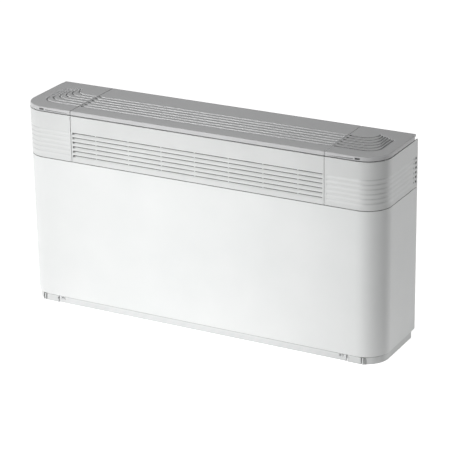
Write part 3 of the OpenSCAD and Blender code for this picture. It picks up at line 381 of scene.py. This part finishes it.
LEDGE_RISE, LEDGE_PITCH = 17.9, 11.7
LEDGE_TILT = 0.22
LEDGE_SHADE_START, LEDGE_SHADE_POWER, LEDGE_SHARE = 0.45, 1.6, 0.62
CORNER_TURN, FRONT_WEIGHT = (0.05, 0.5), 0.5
SIDE_TURN, SIDE_WEIGHT = (0.88, 0.97), 0.2
CAP_SIDE_TURN, CAP_SIDE_PAINTED_LIGHT = (0.93, 0.97), 1.09


def ledge_shade(tree):
    """Painted shade under each ledge of the mock louvres, most at the round corner and least on the sides,
    which are painted lighter as well.
    """
    at, normal = tree.place_mm(), tree.facing()
    sideways = tree.maths("ABSOLUTE", normal["X"])
    step = tree.maths("DIVIDE", tree.less(at["Z"], GRILLE_LOW.z + LEDGE_RISE), LEDGE_PITCH)
    close = tree.ramp(tree.maths("FRACT", step), LEDGE_SHADE_START, 1.0, 0.0, 1.0)
    dark = tree.product(tree.near(normal["Z"], LEDGE_TILT, TILT_SLACK),
                        tree.maths("POWER", close, LEDGE_SHADE_POWER),
                        tree.ramp(sideways, *CORNER_TURN, FRONT_WEIGHT, 1.0),
                        tree.ramp(sideways, *SIDE_TURN, 1.0, SIDE_WEIGHT))
    return tree.product(tree.ramp(dark, 0.0, 1.0, 1.0, LEDGE_SHARE),
                        tree.ramp(sideways, *CAP_SIDE_TURN, 1.0, CAP_SIDE_PAINTED_LIGHT))


# Materials

EVEN = (1.0, 1.0, 1.0)
CLOUD_DETAIL, GRAIN_DETAIL = 4.0, 3.0


def shader(name):
    mat = bpy.data.materials.new(name)
    tree = Tree(mat)
    return mat, tree, tree.nodes["Principled BSDF"]


def surface(name, tones, rough, cloud, grain, depth_mm, metallic=0.0, stretch=EVEN, shade=None):
    """Two close colours in slow clouds, roughness that follows them, and a fine grain in relief; a shade
    function, when given, scales the colour by its painted shade and light.
    """
    mat, tree, bsdf = shader(name)
    where = tree.place(stretch)
    slow = tree.noise(where, cloud, CLOUD_DETAIL)
    colour = tree.blend(tree.spread(slow, 0.0, 1.0), *tones)
    if shade:
        colour = tree.node("VectorMath", {0: colour, "Scale": shade(tree)}, operation="SCALE").outputs[0]
    tree.feed(bsdf.inputs["Base Color"], colour)
    tree.feed(bsdf.inputs["Roughness"], tree.spread(slow, *rough))
    tree.feed(bsdf.inputs["Metallic"], metallic)
    tree.relief(bsdf, tree.noise(where, grain, GRAIN_DETAIL), depth_mm)
    return mat


def galvanised(name, tones, rough, spangle, grain, depth_mm, metallic):
    """Zinc sheet with its crystal spangle."""
    mat, tree, bsdf = shader(name)
    where = tree.place(EVEN)
    tone = tree.node("RGBToBW", {0: tree.cells(where, spangle, "Color")}).outputs[0]
    tree.feed(bsdf.inputs["Base Color"], tree.blend(tree.spread(tone, 0.0, 1.0), *tones))
    tree.feed(bsdf.inputs["Roughness"], tree.spread(tone, *rough))
    tree.feed(bsdf.inputs["Metallic"], metallic)
    tree.relief(bsdf, tree.noise(where, grain, GRAIN_DETAIL), depth_mm)
    return mat


def foam(name, tones, rough, pore, depth_mm):
    """Open pores, with painted shade at their bottoms."""
    mat, tree, bsdf = shader(name)
    pores = tree.cells(tree.place(EVEN), pore, "Distance")
    tree.feed(bsdf.inputs["Base Color"], tree.blend(pores, *tones))
    tree.feed(bsdf.inputs["Roughness"], rough)
    tree.relief(bsdf, pores, depth_mm)
    return mat


def weave(name, tones, rough, threads, depth_mm):
    """Plain weave from two crossed waves."""
    mat, tree, bsdf = shader(name)
    where = tree.place(EVEN)
    waves = [tree.node("TexWave", {"Vector": where, "Scale": threads}, bands_direction=axis).outputs["Fac"]
             for axis in ("X", "Y")]
    cross = tree.product(*waves)
    tree.feed(bsdf.inputs["Base Color"], tree.blend(cross, *tones))
    tree.feed(bsdf.inputs["Roughness"], rough)
    tree.relief(bsdf, cross, depth_mm)
    return mat


def white_mould(name, shade=None):
    return surface(name, tones=((0.69, 0.70, 0.695), (0.73, 0.74, 0.735)), rough=(0.40, 0.50),
                   cloud=9.0, grain=2600.0, depth_mm=0.02, shade=shade)


# Painted shade in the joint above the front panel and in the groove above the plinth strip and feet
PANEL_EDGE_SHADE = edge_fade("front_panel", 0.25)
PLINTH_EDGE_SHADE = edge_fade("filter_frame", 0.35)

WHITE_MOULD = white_mould("white_mould")
# The grille, foot and cap mouldings carry painted shade, and the caps painted light on their sides
GRILLE_MOULD = white_mould("grille_mould", slot_shade)
FOOT_MOULD = white_mould("foot_mould", PLINTH_EDGE_SHADE)
CAP_MOULD = white_mould("cap_mould", ledge_shade)
DARK_MOULD = surface("dark_mould", tones=((0.030, 0.031, 0.033), (0.055, 0.057, 0.06)), rough=(0.42, 0.58),
                     cloud=20.0, grain=2400.0, depth_mm=0.03)
BRIGHT_BAR = surface("bright_bar", tones=((0.62, 0.63, 0.64), (0.74, 0.75, 0.76)), rough=(0.18, 0.30),
                     cloud=30.0, grain=900.0, depth_mm=0.01, metallic=1.0, stretch=(0.2, 4.0, 4.0))
COPPER = surface("copper", tones=((0.56, 0.25, 0.13), (0.75, 0.38, 0.22)), rough=(0.24, 0.42),
                 cloud=16.0, grain=600.0, depth_mm=0.02, metallic=1.0)
ZINC = galvanised("galvanised", tones=((0.555, 0.575, 0.585), (0.635, 0.655, 0.665)), rough=(0.44, 0.52),
                  spangle=170.0, grain=700.0, depth_mm=0.02, metallic=0.85)

# Finish of each material slot in the record; the white coat, the grey mould and the strip mould also carry
# painted shade, and the grey mould painted light
FINISH = {
    "white_steel": surface("white_coat", tones=((0.80, 0.815, 0.81), (0.84, 0.85, 0.845)),
                           rough=(0.34, 0.42), cloud=6.0, grain=650.0, depth_mm=0.03, shade=PANEL_EDGE_SHADE),
    "white_plastic": WHITE_MOULD,
    "grey_plastic": surface("grey_mould", tones=((0.56, 0.563, 0.567), (0.607, 0.61, 0.614)),
                            rough=(0.50, 0.62), cloud=14.0, grain=2200.0, depth_mm=0.05, shade=groove_shade),
    "strip_plastic": surface("strip_mould", tones=((0.70, 0.71, 0.71), (0.74, 0.75, 0.75)),
                             rough=(0.42, 0.52), cloud=9.0, grain=2600.0, depth_mm=0.02, shade=PLINTH_EDGE_SHADE),
    "galvanised": ZINC,
    "bright_steel": BRIGHT_BAR,
    "dark_plastic": DARK_MOULD,
    "motor_paint": surface("motor_paint", tones=((0.07, 0.075, 0.08), (0.11, 0.115, 0.12)),
                           rough=(0.32, 0.46), cloud=25.0, grain=800.0, depth_mm=0.04),
    "bronze": surface("bronze", tones=((0.42, 0.28, 0.13), (0.58, 0.40, 0.20)), rough=(0.34, 0.50),
                      cloud=40.0, grain=1800.0, depth_mm=0.03, metallic=1.0),
    "vent_brass": surface("brass", tones=((0.58, 0.42, 0.16), (0.76, 0.58, 0.26)), rough=(0.22, 0.36),
                          cloud=30.0, grain=900.0, depth_mm=0.015, metallic=1.0),
    "copper": COPPER,
    "fin_metal": surface("fin_stock", tones=((0.66, 0.67, 0.68), (0.80, 0.81, 0.82)), rough=(0.24, 0.36),
                         cloud=20.0, grain=500.0, depth_mm=0.02, metallic=1.0),
    "soft_rubber": surface("soft_rubber", tones=((0.018, 0.018, 0.018), (0.035, 0.035, 0.035)),
                           rough=(0.62, 0.78), cloud=25.0, grain=1500.0, depth_mm=0.04),
    "foam": foam("open_foam", tones=((0.02, 0.02, 0.022), (0.10, 0.10, 0.105)), rough=0.95,
                 pore=420.0, depth_mm=0.8),
    "mesh": weave("filter_cloth", tones=((0.03, 0.034, 0.037), (0.15, 0.16, 0.17)), rough=0.85,
                  threads=220.0, depth_mm=0.3),
    "can": surface("drawn_can", tones=((0.66, 0.67, 0.68), (0.78, 0.79, 0.80)), rough=(0.26, 0.36),
                   cloud=30.0, grain=900.0, depth_mm=0.01, metallic=1.0, stretch=(5.0, 5.0, 0.3)),
}


def dress_nodes():
    for row in frame["record"]["subparts"]:
        data = NODES[row["node"]].data
        data.materials.clear()
        data.materials.append(FINISH[row["material_slot"]])
    # The grille, the end caps and the feet get the mouldings with painted shade; the caps also get painted
    # light
    NODES["outlet_grille"].data.materials[0] = GRILLE_MOULD
    for _, name in SIDES:
        NODES[name + "_end_cap"].data.materials[0] = CAP_MOULD
        NODES[name + "_foot"].data.materials[0] = FOOT_MOULD


# Helpers for new pieces

def add_piece(name, bm, mat, body):
    """Turns a bmesh in metres into a piece that rides on a body."""
    mesh = bpy.data.meshes.new(name)
    bmesh.ops.recalc_face_normals(bm, faces=bm.faces)
    bm.to_mesh(mesh)
    bm.free()
    mesh.materials.append(mat)
    piece = bpy.data.objects.new(name, mesh)
    scene.collection.objects.link(piece)
    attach(piece, body)


def frame_for(normal):
    """Rotation that takes +Z to the normal."""
    return Vector(normal).to_track_quat("Z", "Y").to_matrix().to_4x4()


def mount_frame(name):
    """Place of a mount, with +Z along its axis."""
    mount = next(m for m in frame["record"]["mounts"] if m["name"] == name)
    return Matrix.Translation(Vector(mount["pos_m"])) @ frame_for(mount["axis"])


def circle(bm, move, radius, height, count):
    """Ring of points in millimetres at the heights that a function of x and y gives."""
    ring = []
    for k in range(count):
        angle = 2 * math.pi * k / count
        x, y = radius * math.cos(angle), radius * math.sin(angle)
        ring.append(bm.verts.new(move @ (Vector((x, y, height(x, y))) * MM)))
    return ring


def join_rows(bm, first, second):
    """Closed band of faces between two rows with as many points."""
    for i, corner in enumerate(first):
        j = (i + 1) % len(first)
        bm.faces.new((corner, first[j], second[j], second[i]))


def box_at(bm, low_mm, high_mm, turn=None):
    """Box between two corners; turn is a matrix in metres applied last."""
    low, high = Vector(low_mm) * MM, Vector(high_mm) * MM
    centre, size = (low + high) / 2, high - low
    move = Matrix.Translation(centre) @ Matrix.Diagonal((*size, 1.0))
    made = bmesh.ops.create_cube(bm, size=1.0, matrix=move)
    if turn is not None:
        bmesh.ops.transform(bm, matrix=turn, verts=made["verts"])


# Scale marks round the two knobs

MARK_HALF_W = 0.5
MARK_GAP = 2.0
MARK_L, SHORT_MARK_L = 4.0, 2.6
MARK_SUNK, MARK_PROUD = 0.1, 0.25
SCALES = {"thermostat": (11, 270.0), "speed": (4, 120.0)}


def add_dial_marks():
    plate_top = edges("control_plate")[1].z
    for name, (marks, sweep) in SCALES.items():
        low, high = edges(name + "_knob")
        centre = (low + high) / 2
        inner = (high.x - low.x) / 2 + MARK_GAP
        long_marks = range(marks) if name == "speed" else (0, marks - 1)
        bm = bmesh.new()
        for k in range(marks):
            angle = math.radians(-sweep / 2 + sweep * k / (marks - 1))
            outer = inner + (MARK_L if k in long_marks else SHORT_MARK_L)
            spin = Matrix.Translation(Vector((centre.x, centre.y, 0)) * MM) @ Matrix.Rotation(angle, 4, "Z")
            box_at(bm, (-MARK_HALF_W, inner, plate_top - MARK_SUNK),
                   (MARK_HALF_W, outer, plate_top + MARK_PROUD), spin)
        add_piece(name + "_marks", bm, DARK_MOULD, "chassis")


# Dark pieces in the finger recesses of the flaps and behind their catch windows, standing in for the shade
# in them

RECESS_SHADE_START, RECESS_SHADE_END = 9.25, 71.75
RECESS_SHADE_FOOT = 2.4
RECESS_SHADE_TOPS = (2.86, 4.14)
RECESS_SHADE_FACE, RECESS_SHADE_BACK = 0.25, 2.0
CATCH_SHADE_FACE, CATCH_SHADE_BACK = 1.6, 4.2


def add_recess_shade_pieces():
    front, foot = LID_LOW.y, LID_LOW.z
    face, back, floor = front + RECESS_SHADE_FACE, front + RECESS_SHADE_BACK, foot + RECESS_SHADE_FOOT
    for side, name in SIDES:
        bm = bmesh.new()
        # Dark wedge in the finger recess, standing in for the shadow under its top edge
        rows = []
        for along, rise in zip((RECESS_SHADE_START, RECESS_SHADE_END), RECESS_SHADE_TOPS):
            x, top = side * (FLAP_START + along), foot + rise
            section = ((face, floor), (face, top), (back, top), (back, floor))
            rows.append([bm.verts.new(Vector((x, y, z)) * MM) for y, z in section])
        join_rows(bm, *rows)
        bm.faces.new(rows[0])
        bm.faces.new(list(reversed(rows[1])))
        # Dark box behind the catch window, standing in for the shade inside it
        ends = sorted(side * (FLAP_START + along) for along in (CATCH_START, CATCH_END))
        box_at(bm, (ends[0], front + CATCH_SHADE_FACE, foot + CATCH_FOOT),
               (ends[1], front + CATCH_SHADE_BACK, foot + CATCH_TOP))
        add_piece(name + "_flap_recess_shade", bm, DARK_MOULD, name + "_lid")


# Screws of the hinge brackets, the feet, the terminal cover and the control plate

SCREW_RINGS, SCREW_SIDES = 7, 32
RIM_SHARE = 0.45
CROSS_HALF_SHARE, CROSS_REACH_SHARE, CROSS_DEPTH_SHARE = 0.16, 0.62, 0.55
SCREW_TURN_DEG, QUARTER_TURN_DEG = 37.0, 90.0
BRACKET_T = 3.0
BRACKET_SCREW_INSET, BRACKET_SCREW_RISE = 20.0, 14.0
FOOT_PLATE_T = 4.0
FOOT_SCREW_INSET = 20.0
FOOT_SCREW_Y = (-10.0, 60.0)
COVER_SCREW_INSET = 7.0
PLATE_SCREW_INSET_X, PLATE_SCREW_INSET_Y = 12.0, 9.0


def screw_head(bm, at_mm, normal, r_mm, height_mm, turn_deg):
    """Domed head with a cross recess, its seat at the given point."""
    spin = Matrix.Rotation(math.radians(turn_deg), 4, "Z")
    move = Matrix.Translation(Vector(at_mm) * MM) @ frame_for(normal) @ spin

    def dome(x, y, share):
        round_top = math.sqrt(max(0.0, 1.0 - share * share))
        z = height_mm * (RIM_SHARE + (1 - RIM_SHARE) * round_top)
        near, far = sorted((abs(x), abs(y)))
        in_cross = near <= CROSS_HALF_SHARE * r_mm and far <= CROSS_REACH_SHARE * r_mm
        return z - CROSS_DEPTH_SHARE * height_mm if in_cross else z

    top = bm.verts.new(move @ (Vector((0, 0, dome(0, 0, 0))) * MM))
    rows = []
    for ring in range(1, SCREW_RINGS + 1):
        share = ring / SCREW_RINGS
        rows.append(circle(bm, move, r_mm * share, lambda x, y: dome(x, y, share), SCREW_SIDES))
    for i, corner in enumerate(rows[0]):
        bm.faces.new((top, corner, rows[0][(i + 1) % SCREW_SIDES]))
    rows.append(circle(bm, move, r_mm, lambda x, y: 0, SCREW_SIDES))
    for first, second in zip(rows, rows[1:]):
        join_rows(bm, first, second)
    bm.faces.new(list(reversed(rows[-1])))


def add_screws(name, places, normal, r_mm=3.6, height_mm=2.2):
    bm = bmesh.new()
    for k, at in enumerate(places):
        screw_head(bm, at, normal, r_mm, height_mm, SCREW_TURN_DEG * k % QUARTER_TURN_DEG)
    add_piece(name, bm, BRIGHT_BAR, "chassis")


def add_fixings():
    for side, name in SIDES:
        low, high = edges(name + "_hinge_bracket")
        ends = (low.x + BRACKET_SCREW_INSET, high.x - BRACKET_SCREW_INSET)
        places = [(x, high.y - BRACKET_T, low.z + BRACKET_SCREW_RISE) for x in ends]
        add_screws(name + "_bracket_screws", places, (0, -1, 0))
        low, high = edges(name + "_foot")
        x = side * (max(abs(low.x), abs(high.x)) - FOOT_SCREW_INSET)
        places = [(x, y, high.z - FOOT_PLATE_T) for y in FOOT_SCREW_Y]
        add_screws(name + "_foot_screws", places, (0, 0, -1))
    low, high = edges("terminal_cover")
    places = [(high.x, y, z) for y in (low.y + COVER_SCREW_INSET, high.y - COVER_SCREW_INSET)
              for z in (low.z + COVER_SCREW_INSET, high.z - COVER_SCREW_INSET)]
    add_screws("terminal_cover_screws", places, (1, 0, 0), r_mm=3.0, height_mm=1.8)
    low, high = edges("control_plate")
    x = low.x + PLATE_SCREW_INSET_X
    places = [(x, y, high.z) for y in (low.y + PLATE_SCREW_INSET_Y, high.y - PLATE_SCREW_INSET_Y)]
    add_screws("control_plate_screws", places, (0, 0, 1), r_mm=3.2, height_mm=1.8)


# Spot welds on both sides of the seams between the back panel and the plates beside it

WELD_COUNT, WELD_PITCH, WELD_FOOT = 9, 52.0, 48.0
WELD_OFFSETS = (-3.5, 3.3)
WELD_R, WELD_TOP_R, WELD_H, WELD_LIFT = 2.4, 1.9, 0.16, 0.04
WELD_SIDES = 24
FLANGE_T = 1.2


def add_welds():
    seam = edges("back_panel")[1].x
    y = edges("left_side_plate")[1].y - FLANGE_T - WELD_LIFT
    bm = bmesh.new()
    for side, _ in SIDES:
        for offset in WELD_OFFSETS:
            for k in range(WELD_COUNT):
                at = Vector((side * (seam + offset), y, WELD_FOOT + WELD_PITCH * k)) * MM
                bmesh.ops.create_cone(bm, cap_ends=True, segments=WELD_SIDES, radius1=WELD_R * MM,
                                      radius2=WELD_TOP_R * MM, depth=WELD_H * MM,
                                      matrix=Matrix.Translation(at) @ frame_for((0, -1, 0)))
    add_piece("back_panel_welds", bm, ZINC, "chassis")


# Inside threads of the two water unions

THREAD_TURNS, THREAD_STEPS, THREAD_PITCH = 7, 28, 1.8
THREAD_ROOT_R, THREAD_CREST_R = 9.32, 8.5
THREAD_HALF_W = 0.8
THREAD_START = 1.2


def add_threads():
    section = ((THREAD_ROOT_R, -THREAD_HALF_W), (THREAD_CREST_R, 0.0), (THREAD_ROOT_R, THREAD_HALF_W))
    for name in ("inlet", "outlet"):
        to_mount = mount_frame("water_" + name)
        bm = bmesh.new()
        rows = []
        for k in range(THREAD_TURNS * THREAD_STEPS + 1):
            angle = 2 * math.pi * k / THREAD_STEPS
            z = -THREAD_START - THREAD_PITCH * k / THREAD_STEPS
            points = [Vector((r * math.cos(angle), r * math.sin(angle), z + dz)) for r, dz in section]
            rows.append([bm.verts.new(to_mount @ (point * MM)) for point in points])
        for first, second in zip(rows, rows[1:]):
            join_rows(bm, first, second)
        bm.faces.new(rows[0])
        bm.faces.new(list(reversed(rows[-1])))
        add_piece(name + "_thread", bm, COPPER, "chassis")


# Ribs on the drain spigot that hold a hose

HOSE_RIBS, HOSE_RIB_PITCH, HOSE_RIB_L = 3, 6.0, 3.2
FIRST_RIB_TIP = 12.0
RIB_ROOT_R, RIB_TIP_R, RIB_CREST_R = 7.9, 8.1, 8.7
RIB_SIDES = 48


def add_hose_ribs():
    to_mount = mount_frame("drain_spigot")
    bm = bmesh.new()
    for k in range(HOSE_RIBS):
        tip = FIRST_RIB_TIP - HOSE_RIB_PITCH * k
        heel = tip - HOSE_RIB_L
        profile = ((tip, RIB_ROOT_R), (tip, RIB_TIP_R), (heel, RIB_CREST_R), (heel, RIB_ROOT_R))
        rings = [circle(bm, to_mount, r, lambda x, y: z, RIB_SIDES) for z, r in profile]
        for first, second in zip(rings, rings[1:] + rings[:1]):
            join_rows(bm, first, second)
    add_piece("drain_spigot_ribs", bm, WHITE_MOULD, "chassis")


# Open net over both faces of the filter cloth

NET_THREAD, NET_PITCH = 0.35, 6.0


def add_filter_net():
    low, high = edges("filter_mesh")
    half = NET_THREAD / 2
    bm = bmesh.new()
    for z in (low.z - NET_THREAD, high.z):
        count = int((high.x - low.x) / NET_PITCH)
        for k in range(1, count):
            x = low.x + (high.x - low.x) * k / count
            box_at(bm, (x - half, low.y, z), (x + half, high.y, z + NET_THREAD))
        count = int((high.y - low.y) / NET_PITCH)
        for k in range(1, count):
            y = low.y + (high.y - low.y) * k / count
            box_at(bm, (low.x, y - half, z), (high.x, y + half, z + NET_THREAD))
    add_piece("filter_net", bm, DARK_MOULD, "filter")


add_camera()
add_world()
add_floor()
add_lamps()
dress_nodes()
add_dial_marks()
add_recess_shade_pieces()
add_fixings()
add_welds()
add_threads()
add_hose_ribs()
add_filter_net()
